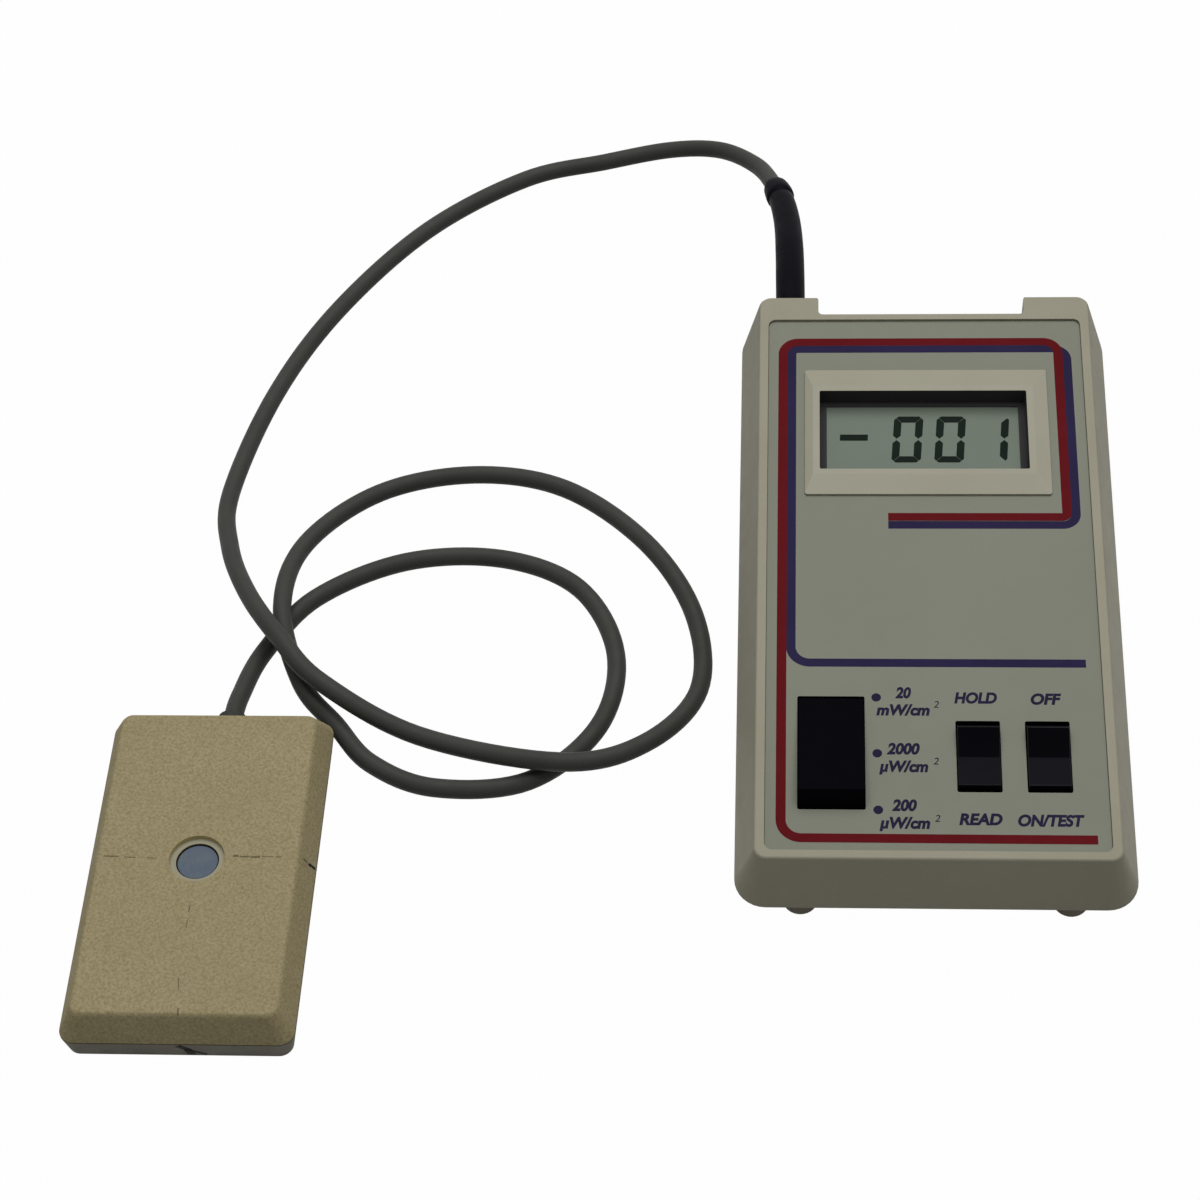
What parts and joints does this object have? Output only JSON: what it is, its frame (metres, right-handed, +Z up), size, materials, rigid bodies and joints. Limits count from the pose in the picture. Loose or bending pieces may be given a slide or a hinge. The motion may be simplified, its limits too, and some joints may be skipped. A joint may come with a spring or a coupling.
{
  "type": "ultraviolet radiometer",
  "caption": "Wedge-shaped handheld ultraviolet radiometer: sloped label with display window and rocker switches, joined by a looped cable to a flat sensor head with a filter window.",
  "frame": {"origin": "on the table, under the middle of the box that holds the meter and the sensor head without the cable and its boot", "axes": "+X to the right across the label, from the sensor head to the meter; +Y from the front of the label to the rear; +Z up from the table"},
  "size_m": [0.2176, 0.2715, 0.0365],
  "materials": {
    "case": "fine matte texture",
    "label": "printed film",
    "bezel": "satin",
    "black_plastic": "matte",
    "display": "polarised glass",
    "contact_rubber": "soft",
    "board": "solder resist",
    "chip": "moulded",
    "pot": "moulded",
    "steel": "plated",
    "brass": "plated",
    "lead": "flat lead",
    "battery_can": "painted",
    "rubber": "matte",
    "foot_rubber": "matte",
    "cable_rubber": "smooth",
    "boot_rubber": "satin",
    "sensor_tan": "matte",
    "sensor_grey": "matte",
    "filter": "polished"
  },
  "bodies": {
    "meter": {"top_case": "case", "base_case": "case", "label_panel": "label", "display_bezel": "bezel", "display_mask": "black_plastic", "lcd_glass": "display", "lcd_holder": "black_plastic", "contact_strips": "contact_rubber", "display_board": "board", "meter_chip": "chip", "trim_pots": "pot", "switch_board": "board", "amplifier_chip": "chip", "range_switch_housing": "black_plastic", "hold_switch_housing": "black_plastic", "power_switch_housing": "black_plastic", "switch_terminals": "steel", "ribbon_cable": "lead", "battery": "battery_can", "battery_snap": "black_plastic", "sensor_socket": "black_plastic", "rubber_feet": "foot_rubber", "case_screws": "steel", "board_screws": "steel"},
    "battery_door": {"battery_door": "case"},
    "range_rocker": {"range_rocker": "black_plastic"},
    "hold_rocker": {"hold_rocker": "black_plastic"},
    "power_rocker": {"power_rocker": "black_plastic"},
    "probe": {"plug_barrel": "steel", "plug_pins": "brass", "cable_boot": "boot_rubber", "cable": "cable_rubber", "sensor_cover": "sensor_tan", "sensor_base": "sensor_grey", "filter_glass": "filter", "filter_ring": "black_plastic", "photodiode": "steel", "sensor_board": "board", "sensor_screws": "steel", "cable_grommet": "rubber"}
  },
  "joints": [
    {"name": "range_rock", "type": "hinge", "parent": "meter", "child": "range_rocker", "pos_m": [0.0461, -0.02916, 0.01775], "axis": [1, 0, 0], "range_deg": [0, 15]},
    {"name": "hold_rock", "type": "hinge", "parent": "meter", "child": "hold_rocker", "pos_m": [0.0764, -0.02996, 0.01766], "axis": [-1, 0, 0], "range_deg": [0, 15]},
    {"name": "power_rock", "type": "hinge", "parent": "meter", "child": "power_rocker", "pos_m": [0.0907, -0.02996, 0.01766], "axis": [-1, 0, 0], "range_deg": [0, 15]},
    {"name": "door_slide", "type": "slide", "parent": "meter", "child": "battery_door", "axis": [0, -1, 0], "range_m": [0, 0.012]},
    {"name": "plug_slide", "type": "slide", "parent": "meter", "child": "probe", "axis": [0, 1, 0], "range_m": [0, 0.014]}
  ]
}
